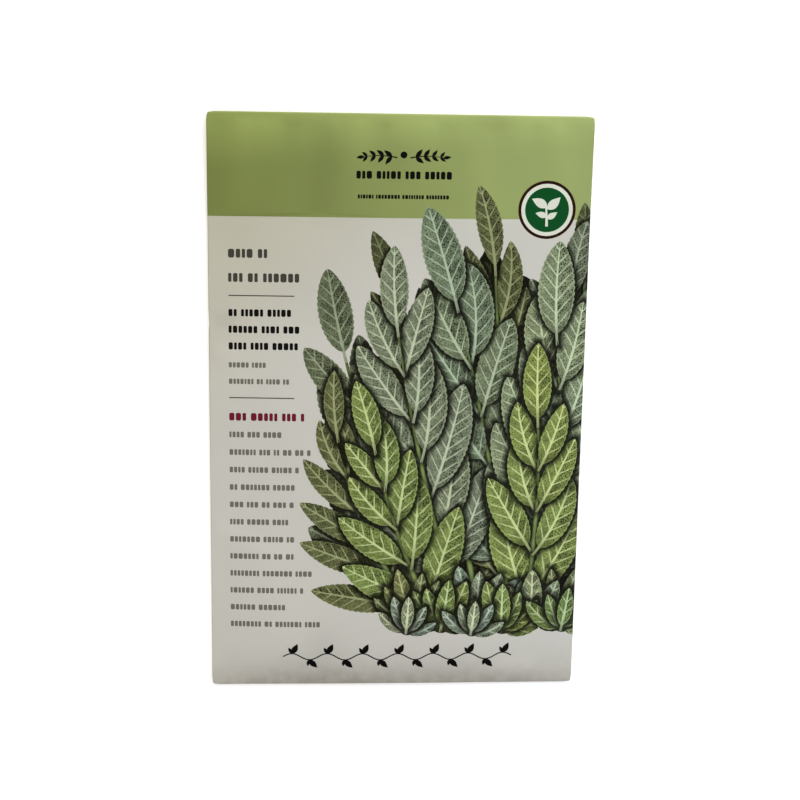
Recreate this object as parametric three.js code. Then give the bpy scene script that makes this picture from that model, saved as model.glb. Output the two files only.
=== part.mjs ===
// A sealed paper seed packet with 25 loose seeds in it, lying on its back with its printed front up.
//
// The packet is one die-cut sheet. From the unfolded front panel, a narrow side flap goes off to
// the left, the back panel to the right, and an end flap off the bottom and the top. Folded, the
// side flap lies inside, the back panel is glued under it, and the two end flaps are glued over
// the back. X runs across the packet, Y towards its top and Z out of its front, in millimetres.
// The origin is on the resting surface, under the middle of the packet.

import * as THREE from 'three';

// ---- Driving dimensions -------------------------------------------------------------------

const packetWidth = 95; // over the two side folds
const packetHeight = 148; // over the two end folds
const paperThickness = 0.16;
const glueGap = 0.1; // between two glued layers of paper
const glueThickness = 0.05;

const sideFlapWidth = 13;
const bottomFlapDepth = 13;
const topFlapDepth = 17;
const flapTaper = 5; // how far each end of an end flap draws in
const taperZone = 13; // and over how wide a stretch its grid gives way
const seamSetback = 1.4; // from the left fold to the free edge of the back panel
const cornerRelief = 0.5; // by which the folds stop short of each corner

const sideFoldBulge = 0.3; // how far a fold's middle surface stands out past its panel
const endFoldBulge = 0.4;
const edgeGap = 0.76; // between the middle surfaces of the front and the back at a fold

const fullness = 2.5; // how far the filled front rises above its edges
const bottomRoundness = 22; // the higher, the steeper the front rises from the bottom fold
const topTaper = 2.1; // the higher, the longer the front stays full towards the top
const topRoundness = 14; // the same for the part of it that rounds off just below the top fold
const topRoundShare = 0.3; // how large that part is
const sideRoundness = 3; // the higher, the steeper the front rises from a side fold

const flatHalfWidth = 25; // the back lies quite flat within this
const flatHalfHeight = 36;
const sideLift = 0.35; // how far the side folds lift off the surface
const topLift = 0.5;
const bottomLift = 0.7; // at the middle of the bottom fold, which the filling rounds upwards
const cornerLifts = [
  { side: 1, end: 1, lift: 0.6 },
  { side: -1, end: 1, lift: 0.4 },
];

const seedCount = 25;
const seedLength = 2.7;
const seedWidth = 2.3;
const seedHeight = 2.1;
const seedClearance = 0.12; // between a seed and the paper under it
const seedSpacing = 3.3; // least distance between the middles of two seeds
const seedArea = { left: -33, right: 33, bottom: -56, top: -16 };
const seedDraw = 20417; // start of the random draw that scatters the seeds

// ---- Lines that the dimensions give ---------------------------------------------------------

const layerPitch = paperThickness + glueGap;
const halfPaper = paperThickness / 2;
const rightFold = packetWidth / 2 - halfPaper - sideFoldBulge;
const leftFold = -rightFold;
const topFold = packetHeight / 2 - halfPaper - endFoldBulge;
const bottomFold = -topFold;

const foldSteps = 4; // facets round a fold
const stepStart = 1.2; // from a flap's free edge to where the back sinks past it
const stepLength = 4;

// ---- Heights of the layers ------------------------------------------------------------------

const clamp01 = (value) => Math.min(1, Math.max(0, value));

/** Distance of a point past a flat middle zone, as a share of what is left up to the edge. */
function pastFlat(distance, flat, edge) {
  return clamp01((distance - flat) / (edge - flat));
}

/** How far the whole packet lifts off the surface at its edges and corners. */
function lift(x, y) {
  const side = pastFlat(Math.abs(x), flatHalfWidth, packetWidth / 2);
  const top = pastFlat(y, flatHalfHeight, packetHeight / 2);
  const bottom = pastFlat(-y, flatHalfHeight, packetHeight / 2);
  const nearMiddle = 1 - ((2 * x) / packetWidth) ** 2;
  let height = sideLift * side ** 2 + topLift * top ** 2 + bottomLift * nearMiddle * bottom ** 2;
  for (const corner of cornerLifts) {
    const across = pastFlat(corner.side * x, flatHalfWidth / 2, packetWidth / 2);
    const along = pastFlat(corner.end * y, flatHalfHeight, packetHeight / 2);
    height += corner.lift * across ** 2 * along ** 2;
  }
  return height;
}

/** 1 where an end flap lies under the back, 0 where the back lies on the surface. */
function overFlap(y) {
  const fromBottom = y - (bottomFold + bottomFlapDepth + stepStart);
  const fromTop = topFold - topFlapDepth - stepStart - y;
  return 1 - clamp01(Math.min(fromBottom, fromTop) / stepLength);
}

/** How far the filled front bulges, from 0 at the folds to the packet's fullness. */
function bulge(x, y) {
  const across = 1 - Math.abs(x / rightFold) ** sideRoundness;
  const along = clamp01((y - bottomFold) / (topFold - bottomFold));
  const fromBottom = 1 - (1 - along) ** bottomRoundness;
  const taper = (1 - topRoundShare) * along ** topTaper;
  const toTop = 1 - taper - topRoundShare * along ** topRoundness;
  return fullness * across * fromBottom * toTop;
}

const endFlapHeight = (x, y) => lift(x, y) + halfPaper;
const backHeight = (x, y) => lift(x, y) + halfPaper + layerPitch * overFlap(y);
const sideFlapHeight = (x, y) => backHeight(x, y) + layerPitch;
const frontHeight = (x, y) => lift(x, y) + halfPaper + layerPitch + edgeGap + bulge(x, y);

// ---- The lines that all panels share --------------------------------------------------------
// Layers that are glued together have the same grid, so their facets stay parallel.

/** Evenly spaced values from start to end, start left out. */
function steps(start, end, count) {
  return Array.from({ length: count }, (_, i) => start + ((end - start) * (i + 1)) / count);
}

const columns = [
  leftFold,
  leftFold + cornerRelief,
  leftFold + seamSetback,
  ...steps(leftFold + seamSetback, leftFold + sideFlapWidth, 3),
  ...steps(leftFold + sideFlapWidth, -flatHalfWidth, 2),
  ...steps(-flatHalfWidth, flatHalfWidth, 6),
  ...steps(flatHalfWidth, rightFold - cornerRelief, 4),
  rightFold,
];
const rows = [
  bottomFold,
  bottomFold + cornerRelief,
  ...steps(bottomFold + cornerRelief, bottomFold + bottomFlapDepth, 4),
  bottomFold + bottomFlapDepth + stepStart,
  bottomFold + bottomFlapDepth + stepStart + stepLength,
  ...steps(bottomFold + bottomFlapDepth + stepStart + stepLength, -flatHalfHeight, 3),
  ...steps(-flatHalfHeight, flatHalfHeight, 8),
  ...steps(flatHalfHeight, topFold - topFlapDepth - stepStart - stepLength, 3),
  topFold - topFlapDepth - stepStart,
  topFold - topFlapDepth,
  ...steps(topFold - topFlapDepth, topFold - cornerRelief, 4),
  topFold,
];

// ---- The folded sheet -----------------------------------------------------------------------

/** A point of the sheet's middle surface, with the direction that its printed face looks in. */
function panelPoint(x, y, z, facing) {
  return { middle: new THREE.Vector3(x, y, z), out: new THREE.Vector3(0, 0, facing) };
}

/** A point on a fold that turns from the upper height to the lower one about a panel's edge. */
function foldPoint(x, y, outX, outY, bulgeOut, upper, lower, step) {
  const angle = (Math.PI * step) / foldSteps;
  const reach = bulgeOut * Math.sin(angle);
  const height = (upper + lower) / 2 + ((upper - lower) / 2) * Math.cos(angle);
  return {
    middle: new THREE.Vector3(x + outX * reach, y + outY * reach, height),
    out: new THREE.Vector3(outX * Math.sin(angle), outY * Math.sin(angle), Math.cos(angle)),
  };
}

/** The x of a column on an end flap, whose two ends draw in towards its free edge. */
function flapColumn(column, share) {
  const x = columns[column];
  const fromEnd = rightFold - cornerRelief - Math.abs(x);
  return x - Math.sign(x) * flapTaper * share * (1 - clamp01(fromEnd / taperZone));
}

/**
 * The unfolded sheet as a lattice. Its column numbers run across the side flap, the left fold,
 * the front, the right fold and the back; its row numbers run up the bottom flap, the bottom
 * fold, the front, the top fold and the top flap.
 */
const sideFlapColumns = [5, 4, 3, 2, 1, 0]; // from its free edge to the left fold
const backColumns = columns.map((_, i) => columns.length - 1 - i).filter((i) => i >= 2);
const bottomFlapRows = [5, 4, 3, 2, 1, 0]; // from its free edge to the bottom fold
const topFlapRows = [1, 2, 3, 4, 5, 6].map((i) => rows.length - i);

const frontLeft = sideFlapColumns.length - 1 + foldSteps;
const frontRight = frontLeft + columns.length - 1;
const backStart = frontRight + foldSteps;
const backEnd = backStart + backColumns.length - 1;
const frontBottom = bottomFlapRows.length - 1 + foldSteps;
const frontTop = frontBottom + rows.length - 1;
const topFlapStart = frontTop + foldSteps;
const topFlapEnd = topFlapStart + topFlapRows.length - 1;

/** Whether the unfolded sheet has paper between lattice lines i, i + 1 and j, j + 1. */
function hasPaper(i, j) {
  if (i < 0 || j < 0 || i >= backEnd || j >= topFlapEnd) return false;
  const inFrontColumns = i >= frontLeft && i < frontRight;
  const inFrontRows = j >= frontBottom && j < frontTop;
  const clearOfEnds = j > frontBottom && j < frontTop - 1;
  const clearOfSides = i > frontLeft && i < frontRight - 1;
  if (inFrontColumns && inFrontRows) return true;
  return inFrontColumns ? clearOfSides : inFrontRows && clearOfEnds;
}

/** The folded place of a lattice point beside the front: side flap, side folds or back. */
function besideFront(i, y) {
  if (i < frontLeft - foldSteps) {
    const x = columns[sideFlapColumns[i]];
    return panelPoint(x, y, sideFlapHeight(x, y), -1);
  }
  if (i < frontLeft) {
    const lower = sideFlapHeight(leftFold, y);
    const upper = frontHeight(leftFold, y);
    return foldPoint(leftFold, y, -1, 0, sideFoldBulge, upper, lower, frontLeft - i);
  }
  if (i <= backStart) {
    const lower = backHeight(rightFold, y);
    const upper = frontHeight(rightFold, y);
    return foldPoint(rightFold, y, 1, 0, sideFoldBulge, upper, lower, i - frontRight);
  }
  const x = columns[backColumns[i - backStart]];
  return panelPoint(x, y, backHeight(x, y), -1);
}

/** The folded place of a lattice point above or below the front: end folds or end flaps. */
function beyondFront(column, j) {
  if (j <= frontBottom - foldSteps) {
    const y = rows[bottomFlapRows[j]];
    const x = flapColumn(column, (y - bottomFold) / bottomFlapDepth);
    return panelPoint(x, y, endFlapHeight(x, y), -1);
  }
  if (j >= topFlapStart) {
    const y = rows[topFlapRows[j - topFlapStart]];
    const x = flapColumn(column, (topFold - y) / topFlapDepth);
    return panelPoint(x, y, endFlapHeight(x, y), -1);
  }
  const x = columns[column];
  const [y, outY, step] =
    j < frontBottom ? [bottomFold, -1, frontBottom - j] : [topFold, 1, j - frontTop];
  return foldPoint(x, y, 0, outY, endFoldBulge, frontHeight(x, y), endFlapHeight(x, y), step);
}

function sheetPoint(i, j) {
  const inFrontColumns = i >= frontLeft && i <= frontRight;
  const inFrontRows = j >= frontBottom && j <= frontTop;
  if (!inFrontRows) return beyondFront(i - frontLeft, j);
  const y = rows[j - frontBottom];
  if (!inFrontColumns) return besideFront(i, y);
  const x = columns[i - frontLeft];
  return panelPoint(x, y, frontHeight(x, y), 1);
}

/**
 * A closed thin body: a printed and a plain skin half a thickness either side of a lattice of
 * points, joined by a wall wherever a cell has no neighbour.
 */
function thinBody(columnCount, rowCount, isFilled, pointAt, thickness) {
  const positions = [];
  const triangles = [];
  const corners = new Map();

  function corner(i, j) {
    const key = i * (rowCount + 1) + j;
    if (!corners.has(key)) {
      const { middle, out } = pointAt(i, j);
      const offset = out.clone().multiplyScalar(thickness / 2);
      const first = positions.length / 3;
      positions.push(...middle.clone().add(offset).toArray());
      positions.push(...middle.clone().sub(offset).toArray());
      corners.set(key, { printed: first, plain: first + 1 });
    }
    return corners.get(key);
  }

  function wall(from, to) {
    triangles.push(from.printed, from.plain, to.plain, from.printed, to.plain, to.printed);
  }

  for (let i = 0; i < columnCount; i += 1) {
    for (let j = 0; j < rowCount; j += 1) {
      if (!isFilled(i, j)) continue;
      const [a, b, c, d] = [corner(i, j), corner(i + 1, j), corner(i + 1, j + 1), corner(i, j + 1)];
      triangles.push(a.printed, b.printed, c.printed, a.printed, c.printed, d.printed);
      triangles.push(a.plain, c.plain, b.plain, a.plain, d.plain, c.plain);
      if (!isFilled(i, j - 1)) wall(a, b);
      if (!isFilled(i + 1, j)) wall(b, c);
      if (!isFilled(i, j + 1)) wall(c, d);
      if (!isFilled(i - 1, j)) wall(d, a);
    }
  }
  const geometry = new THREE.BufferGeometry();
  geometry.setAttribute('position', new THREE.Float32BufferAttribute(positions, 3));
  geometry.setIndex(triangles);
  geometry.computeVertexNormals();
  return geometry;
}

function envelopeGeometry() {
  return thinBody(backEnd, topFlapEnd, hasPaper, sheetPoint, paperThickness);
}

// ---- Glue -----------------------------------------------------------------------------------

/** A strip of dried glue over some columns and rows, in the gap above a layer of the paper. */
function glueGeometry(firstColumn, lastColumn, firstRow, lastRow, heightBelow) {
  const columnCount = lastColumn - firstColumn;
  const rowCount = lastRow - firstRow;
  const isFilled = (i, j) => i >= 0 && j >= 0 && i < columnCount && j < rowCount;
  const pointAt = (i, j) => {
    const x = columns[lastColumn - i];
    const y = rows[firstRow + j];
    return panelPoint(x, y, heightBelow(x, y) + layerPitch / 2, -1);
  };
  return thinBody(columnCount, rowCount, isFilled, pointAt, glueThickness);
}

// ---- Seeds ----------------------------------------------------------------------------------

/** A repeatable stream of random numbers from 0 to 1. */
function randomStream(start) {
  let state = start;
  return () => {
    state = (state * 16807) % 2147483647;
    return state / 2147483647;
  };
}

/** The eight points round a seed's middle and the middle itself, out to its length. */
function pointsUnder(x, y) {
  const reach = [-seedLength / 2, 0, seedLength / 2];
  return reach.flatMap((dx) => reach.map((dy) => [x + dx, y + dy]));
}

/** The top of the back panel's paper, at its highest under a seed. */
function floorUnderSeed(x, y) {
  return Math.max(...pointsUnder(x, y).map((point) => backHeight(...point))) + halfPaper;
}

/** Whether a seed fits between the back and the front without touching the front. */
function hasHeadroom(x, y) {
  const ceiling = Math.min(...pointsUnder(x, y).map((point) => frontHeight(...point))) - halfPaper;
  return ceiling - floorUnderSeed(x, y) >= seedHeight + 2 * seedClearance;
}

/** Scatters the seeds over the lower part of the packet, none closer than the spacing. */
function scatteredSeeds() {
  const random = randomStream(seedDraw);
  const places = [];
  while (places.length < seedCount) {
    const x = THREE.MathUtils.lerp(seedArea.left, seedArea.right, random());
    const y = THREE.MathUtils.lerp(seedArea.bottom, seedArea.top, random());
    const turn = random() * Math.PI;
    const size = THREE.MathUtils.lerp(0.93, 1, random());
    const apart = places.every((other) => Math.hypot(x - other.x, y - other.y) >= seedSpacing);
    if (apart && hasHeadroom(x, y)) places.push({ x, y, turn, size });
  }
  return places;
}

function seedGeometry(size) {
  const geometry = new THREE.SphereGeometry(0.5, 10, 7);
  geometry.rotateX(Math.PI / 2);
  geometry.scale(seedLength * size, seedWidth * size, seedHeight * size);
  return geometry;
}

// ---- Materials ------------------------------------------------------------------------------

const printedPaper = new THREE.MeshStandardMaterial({
  color: 0xc4c4b6,
  roughness: 0.5,
  metalness: 0,
  name: 'printed paper',
});
const driedGlue = new THREE.MeshStandardMaterial({
  color: 0xd9d2b8,
  roughness: 0.35,
  metalness: 0,
  name: 'dried glue',
});
const seedCoat = new THREE.MeshStandardMaterial({
  color: 0x3f2d22,
  roughness: 0.65,
  metalness: 0,
  name: 'seed coat',
});

// ---- The packet -----------------------------------------------------------------------------

const packet = new THREE.Group();

function addPiece(name, geometry, material) {
  const piece = new THREE.Mesh(geometry, material);
  piece.name = name;
  packet.add(piece);
  return piece;
}

addPiece('envelope', envelopeGeometry(), printedPaper);

const lastColumn = columns.length - 1;
const lastRow = rows.length - 1;
addPiece('side_seam_glue', glueGeometry(3, 4, 2, lastRow - 2, backHeight), driedGlue);
addPiece('bottom_flap_glue', glueGeometry(5, lastColumn - 3, 2, 4, endFlapHeight), driedGlue);
const topGlueRows = [lastRow - 4, lastRow - 2];
addPiece('top_flap_glue', glueGeometry(5, lastColumn - 3, ...topGlueRows, endFlapHeight), driedGlue);

scatteredSeeds().forEach(({ x, y, turn, size }, index) => {
  const name = `seed_${String(index + 1).padStart(2, '0')}`;
  const seed = addPiece(name, seedGeometry(size), seedCoat);
  seed.position.set(x, y, floorUnderSeed(x, y) + seedClearance + (seedHeight * size) / 2);
  seed.rotation.z = turn;
});

export default packet;
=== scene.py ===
# %% [markdown]
# # A sealed paper seed packet
#
# This notebook dresses a printed seed packet that lies on its back on a pale table. The real one
# is a single sheet of coated paper, printed flat, cut out, folded round a few seeds and glued
# shut. The lesson makes it in that order, because its looks come from it: the crisp print, the
# soft bulge, the folds and the seam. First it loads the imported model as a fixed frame, which
# gives the true size and place of every part.

# %% Load the frame
import math
import random
from functools import partialmethod

import bpy
import numpy as np
from mathutils import Matrix, Vector, geometry
from mathutils.bvhtree import BVHTree


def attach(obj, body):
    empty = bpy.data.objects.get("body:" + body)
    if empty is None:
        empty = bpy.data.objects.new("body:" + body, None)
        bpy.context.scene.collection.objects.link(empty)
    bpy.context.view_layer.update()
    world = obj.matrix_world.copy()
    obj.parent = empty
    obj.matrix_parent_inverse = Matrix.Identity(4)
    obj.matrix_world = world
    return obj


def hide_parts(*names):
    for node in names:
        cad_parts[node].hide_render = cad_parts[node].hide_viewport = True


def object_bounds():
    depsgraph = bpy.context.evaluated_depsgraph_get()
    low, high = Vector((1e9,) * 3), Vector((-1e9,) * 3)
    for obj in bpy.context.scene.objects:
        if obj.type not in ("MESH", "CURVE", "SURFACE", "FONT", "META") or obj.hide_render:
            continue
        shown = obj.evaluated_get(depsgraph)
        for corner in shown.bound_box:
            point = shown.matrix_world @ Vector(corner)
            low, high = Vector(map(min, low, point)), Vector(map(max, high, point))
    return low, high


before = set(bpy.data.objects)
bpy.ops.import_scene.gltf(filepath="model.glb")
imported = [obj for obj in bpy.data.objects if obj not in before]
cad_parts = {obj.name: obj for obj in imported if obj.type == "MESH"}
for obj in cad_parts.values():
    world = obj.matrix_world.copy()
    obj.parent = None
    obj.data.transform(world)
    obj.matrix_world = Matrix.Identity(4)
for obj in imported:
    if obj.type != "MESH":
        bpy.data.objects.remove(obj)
cad_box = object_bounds()
MM = 0.001               # the script counts in millimetres, Blender in metres
bpy.ops.object.select_all(action="DESELECT")
print("CAD nodes:", len(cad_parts), "box in mm:", [round(v / MM, 2) for v in cad_box[1]])

# %% [markdown]
# ## Camera
#
# The photograph looks almost straight down, from close by and a little past the packet's top
# edge, so the top looks wider than the bottom. A place, three turns and an angle of view do that.

# %% Camera
CAMERA_PLACE = Vector((-21.8, 80.5, 368))            # mm
CAMERA_TURNS = [math.radians(a) for a in (-11.995, -3.427, 0.205)]
CAMERA_ANGLE = math.radians(30.28)

tilt, yaw, roll = (Matrix.Rotation(a, 3, axis) for a, axis in zip(CAMERA_TURNS, "XYZ"))
bpy.ops.object.camera_add(location=CAMERA_PLACE * MM, rotation=(tilt @ yaw @ roll).to_euler())
camera = bpy.context.object
camera.data.angle = CAMERA_ANGLE
camera.data.clip_start = 0.01
bpy.context.scene.camera = camera
print("camera at", [round(v) for v in CAMERA_PLACE], "mm, angle", round(math.degrees(CAMERA_ANGLE), 1))

# %% [markdown]
# ## How the closed packet is shaped
#
# Four heights say where the layers lie: the end flaps at the bottom of the stack, then the back
# panel, the side flap and the front, which bulges over the seeds. The same formulas shape the
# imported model, so the finer sheet made here fills exactly the space that the frame gives it.

# %% Sizes of the sheet, in millimetres
PACKET_WIDTH = (cad_box[1][0] - cad_box[0][0]) / MM
PACKET_HEIGHT = (cad_box[1][1] - cad_box[0][1]) / MM
HALF_WIDTH, HALF_HEIGHT = PACKET_WIDTH / 2, PACKET_HEIGHT / 2
PAPER = 0.16                 # thickness
LAYER = 0.26                 # from one glued layer of paper to the next
EDGE_GAP = 0.76              # between front and back at a fold
SIDE_BULGE, END_BULGE = 0.3, 0.4
SIDE_FOLD = HALF_WIDTH - PAPER / 2 - SIDE_BULGE
END_FOLD = HALF_HEIGHT - PAPER / 2 - END_BULGE
SIDE_ARC, END_ARC = 1.25, 1.45     # paper used up by going round a fold
SIDE_FLAP, BOTTOM_FLAP, TOP_FLAP = 13.0, 13.0, 17.0
FLAP_TAPER, SEAM_SETBACK, CORNER_RELIEF = 5.0, 1.4, 0.3
STEP_START, STEP_RUN = 1.2, 4.0    # past a flap's end, the back comes down to the table

FULLNESS, BOTTOM_ROUNDNESS, SIDE_ROUNDNESS = 2.5, 22.0, 3.0
TOP_TAPER, TOP_ROUNDNESS, TOP_ROUND_SHARE = 2.1, 14.0, 0.3
FLAT_HALF_WIDTH, FLAT_HALF_HEIGHT = 25.0, 36.0
SIDE_LIFT, TOP_LIFT, BOTTOM_LIFT = 0.35, 0.5, 0.7
CORNER_LIFTS = ((1, 1, 0.6), (-1, 1, 0.4))


def share_past(distance, start, end):
    return np.clip((distance - start) / (end - start), 0, 1)


def hill(distance, reach):
    return np.exp(-((distance / reach) ** 2))


def lift(x, y):
    """How far the packet's edges and corners rise off the table."""
    height = SIDE_LIFT * share_past(abs(x), FLAT_HALF_WIDTH, HALF_WIDTH) ** 2
    height = height + TOP_LIFT * share_past(y, FLAT_HALF_HEIGHT, HALF_HEIGHT) ** 2
    middle = 1 - (x / PACKET_WIDTH * 2) ** 2
    height = height + BOTTOM_LIFT * middle * share_past(-y, FLAT_HALF_HEIGHT, HALF_HEIGHT) ** 2
    for side, end, corner in CORNER_LIFTS:
        across = share_past(side * x, FLAT_HALF_WIDTH / 2, HALF_WIDTH)
        along = share_past(end * y, FLAT_HALF_HEIGHT, HALF_HEIGHT)
        height = height + corner * across**2 * along**2
    return height


def over_flap(y):
    """1 where an end flap lies under the back, 0 where the back lies on the table."""
    from_bottom = y + END_FOLD - BOTTOM_FLAP - STEP_START
    from_top = END_FOLD - TOP_FLAP - STEP_START - y
    return 1 - np.clip(np.minimum(from_bottom, from_top) / STEP_RUN, 0, 1)


def bulge(x, y):
    """How far the seeds push the front up."""
    along = np.clip((y + END_FOLD) / (2 * END_FOLD), 0, 1)
    from_bottom = 1 - (1 - along) ** BOTTOM_ROUNDNESS
    to_top = 1 - (1 - TOP_ROUND_SHARE) * along**TOP_TAPER - TOP_ROUND_SHARE * along**TOP_ROUNDNESS
    return FULLNESS * (1 - abs(x / SIDE_FOLD) ** SIDE_ROUNDNESS) * from_bottom * to_top


print("packet", round(PACKET_WIDTH, 2), "x", round(PACKET_HEIGHT, 2), "mm")

# %% [markdown]
# ## Signs of handling
#
# Paper that has been filled, sealed and carried is never quite smooth. A dent is a soft hollow
# or ridge along a short line. Each one is put where such a packet gets it: a knock in the left
# edge, a slack stretch above the seeds, and small puckers where the top flap was glued. The tips
# of the four corners are blunted.

# %% Dents, creases and puckers
DENTS = (  # start x, y, end x, y, half width, height (negative for a hollow)
    (-46.5, 22.3, -42.5, 22.0, 1.9, -0.24),
    (-46, 14.6, -42, 14.2, 2.4, 0.16),
    (-38, 71, -40, 52, 4.0, 0.18),
    (-26, 71, -27, 64, 3.0, -0.14),
    (-18, 68, -20, 52, 4.5, -0.36),
    (-10, 72, -11, 62, 3.0, 0.18),
    (-2, 70, -1, 60, 3.5, -0.12),
    (19, 63, 21, 52, 4.0, 0.22),
    (22, 73.5, 23.5, 70.5, 3.4, -0.34),
    (40, 74, 41, 56, 3.5, 0.12),
    (40.5, 71, 45.5, 71, 2.2, -0.18),
    (40, 30, 46, 2, 2.2, 0.16),
    (-47, -30, -30, -38, 2.6, 0.10),
    (30, -46, 47, -58, 2.4, -0.14),
    (-22, -72, -18, -63, 5.0, -0.16),
    (29, -70, 35, -69, 3.2, 0.20),
)
DENT_FADE = 2.0              # dents end this far before a fold
PUCKER_WAVES = ((0.33, 0.4, 0.10), (0.81, 2.1, 0.05), (1.37, 4.0, 0.025))  # pitch, start, size
PUCKER_START, PUCKER_FULL, PUCKER_FADE = 11.0, 2.0, 2.2        # before the top fold
KNOCK_HEIGHT, KNOCK_REACH, KNOCK_DEPTH, KNOCK_FADE = 22.3, 1.6, 0.18, 2.0
CORNER_REACH_IN, CORNER_PUSH = 1.4, 0.3      # each corner's tip is blunted


def handling(x, y):
    """Height of the dents and puckers of the front."""
    height = np.zeros_like(x)
    for x0, y0, x1, y1, width, depth in DENTS:
        run_x, run_y = x1 - x0, y1 - y0
        along = np.clip(((x - x0) * run_x + (y - y0) * run_y) / (run_x**2 + run_y**2), 0, 1)
        apart = np.hypot(x - x0 - along * run_x, y - y0 - along * run_y)
        height = height + depth * hill(apart, width)
    near_top = share_past(y, END_FOLD - PUCKER_START, END_FOLD - PUCKER_FULL)
    near_top = near_top * share_past(END_FOLD - y, 0, PUCKER_FADE)
    for pitch, start, size in PUCKER_WAVES:
        height = height + size * np.sin(pitch * x + start) * near_top
    to_side, to_end = SIDE_FOLD - abs(x), END_FOLD - abs(y)
    return height * share_past(to_side, 0, DENT_FADE) * share_past(to_end, 0, DENT_FADE)


def edge_knock(x, y):
    """How far the left fold is pushed in where the packet was knocked."""
    at_edge = share_past(-x, SIDE_FOLD - KNOCK_FADE, SIDE_FOLD)
    return KNOCK_DEPTH * hill(y - KNOCK_HEIGHT, KNOCK_REACH) * at_edge


def corner_push(x, y):
    """How far a corner's tip is pushed in, both ways, where corners knock against things."""
    side = share_past(abs(x), HALF_WIDTH - CORNER_REACH_IN, HALF_WIDTH)
    end = share_past(abs(y), HALF_HEIGHT - CORNER_REACH_IN, HALF_HEIGHT)
    return CORNER_PUSH * side**2 * end**2


print(len(DENTS), "dents and creases")

# %% [markdown]
# ## Folding
#
# Blender bends a mesh round one axis at a time, and this sheet has four folds that cross. A
# short function is exact: it takes a point of the flat sheet and gives its folded place. Past a
# fold line, the paper runs round half an ellipse and comes back under the front. Small steps to
# either side of a point give the direction that its printed face looks in, for clean shading.

# %% From the flat sheet to the closed packet
SIDE_STEP = 0.02


def wrap(flat, fold, arc, stand_out):
    """Folds one coordinate. Gives its folded place and its share of the way round the fold."""
    past = abs(flat) - fold
    turn = np.clip(past / arc, 0, 1)
    round_fold = np.minimum(abs(flat), fold) + stand_out * np.sin(math.pi * turn)
    return np.sign(flat) * np.where(past < arc, round_fold, fold - past + arc), turn


def folded(flat_x, flat_y):
    """Where points of the flat sheet lie on the closed packet, in millimetres."""
    x, turn_x = wrap(flat_x, SIDE_FOLD, SIDE_ARC, SIDE_BULGE)
    y, turn_y = wrap(flat_y, END_FOLD, END_ARC, END_BULGE)
    inner_x, inner_y = np.clip(x, -SIDE_FOLD, SIDE_FOLD), np.clip(y, -END_FOLD, END_FOLD)
    base = lift(inner_x, inner_y) + PAPER / 2
    back = base + LAYER * over_flap(inner_y)
    front = base + LAYER + EDGE_GAP + bulge(inner_x, inner_y) + handling(inner_x, inner_y)
    lower = np.where(turn_y > 0, base, np.where(flat_x < 0, back + LAYER, back))
    z = (front + lower) / 2 + (front - lower) / 2 * np.cos(math.pi * np.maximum(turn_x, turn_y))
    tip = corner_push(x, y)
    return np.stack([x + edge_knock(x, y) - np.sign(x) * tip, y - np.sign(y) * tip, z], axis=-1)


def printed_side(flat_x, flat_y):
    """Which way the printed face looks there."""
    across = folded(flat_x + SIDE_STEP, flat_y) - folded(flat_x - SIDE_STEP, flat_y)
    along = folded(flat_x, flat_y + SIDE_STEP) - folded(flat_x, flat_y - SIDE_STEP)
    normal = np.cross(across, along)
    return normal / np.linalg.norm(normal, axis=-1, keepdims=True)


middle = folded(np.array([0.0]), np.array([-30.0]))[0]
print("front stands", round(float(middle[2]), 2), "mm high over the seeds")

# %% [markdown]
# ## The cut-out sheet
#
# The blank has the front in the middle, a flap at three of its sides and the back at the fourth.
# A grid as large as the front is extruded outwards from each edge, first in narrow rows where
# the paper will bend, then in wider ones. The ends of the rows are drawn in a little, which
# gives the relief cuts at the corners and the slanted ends of the flaps. It lies flat and is
# drawn in millimetres.

# %% The blank, drawn flat
FOLD_ROWS = 8
CORNER_REACH = 0.85          # of the way to where the two folds meet
FRONT_CELLS = (48, 74)


def select_rim(sheet, direction, distance):
    """Selects the row of edges that lies at a distance from the middle."""
    bpy.ops.object.mode_set(mode="OBJECT")
    mesh = sheet.data
    for parts in (mesh.vertices, mesh.edges, mesh.polygons):
        parts.foreach_set("select", [False] * len(parts))
    off_row = [abs(corner.co.dot(direction) - distance) for corner in mesh.vertices]
    for edge in mesh.edges:
        edge.select = all(off_row[k] < MM for k in edge.vertices)
    bpy.ops.object.mode_set(mode="EDIT")


def grow(direction, length, half_widths):
    """Extrudes the selected row of edges outwards, once for each half width after the first."""
    across = Vector((abs(direction.y), abs(direction.x), 0))
    rows = len(half_widths) - 1
    for before, after in zip(half_widths, half_widths[1:]):
        bpy.ops.mesh.extrude_region_move(TRANSFORM_OT_translate={"value": direction * length / rows})
        stretch = Vector((1, 1, 1)) + across * (after / before - 1)
        bpy.ops.transform.resize(value=stretch, center_override=(0, 0, 0))


def fold_widths(half_width, arc):
    """A fold's rows reach into the corner, up to the next fold's rows, and draw back under it."""
    turns = np.linspace(0, 1, FOLD_ROWS + 1)
    return half_width + CORNER_REACH * arc * np.minimum(turns, 1 - turns) - CORNER_RELIEF * turns


bpy.ops.mesh.primitive_grid_add(x_subdivisions=FRONT_CELLS[0], y_subdivisions=FRONT_CELLS[1], size=1)
blank = bpy.context.object
blank.scale = (2 * SIDE_FOLD, 2 * END_FOLD, 1)
bpy.ops.object.transform_apply(scale=True)
bpy.ops.object.mode_set(mode="EDIT")
bpy.ops.mesh.select_mode(type="EDGE")

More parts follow.
